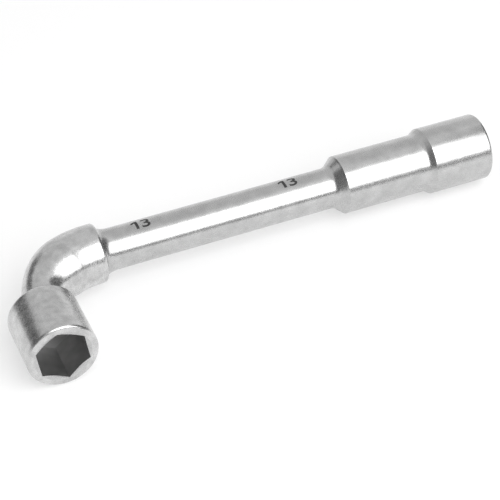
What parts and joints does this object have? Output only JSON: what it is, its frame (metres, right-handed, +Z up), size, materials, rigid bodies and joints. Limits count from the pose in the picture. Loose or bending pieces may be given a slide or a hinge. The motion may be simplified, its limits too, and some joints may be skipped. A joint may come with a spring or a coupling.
{
  "type": "l-shaped socket wrench",
  "caption": "L-shaped hand socket wrench with a short hexagon socket on a bent elbow, a slim round shank and a long deep hexagon socket.",
  "frame": {"origin": "on the table, under the middle of the wrench's box as it lies flat", "axes": "+X along the long leg towards the long socket's mouth, -Y out of the short socket's mouth, +Z up"},
  "size_m": [0.1466, 0.045, 0.019],
  "materials": {
    "satin_chrome": "satin chrome plate on turned steel",
    "forged_chrome": "satin chrome plate on a slightly uneven forged surface"
  },
  "bodies": {
    "root": {"short_socket": "forged_chrome", "elbow": "forged_chrome", "shank": "satin_chrome", "long_socket": "satin_chrome"}
  },
  "joints": []
}
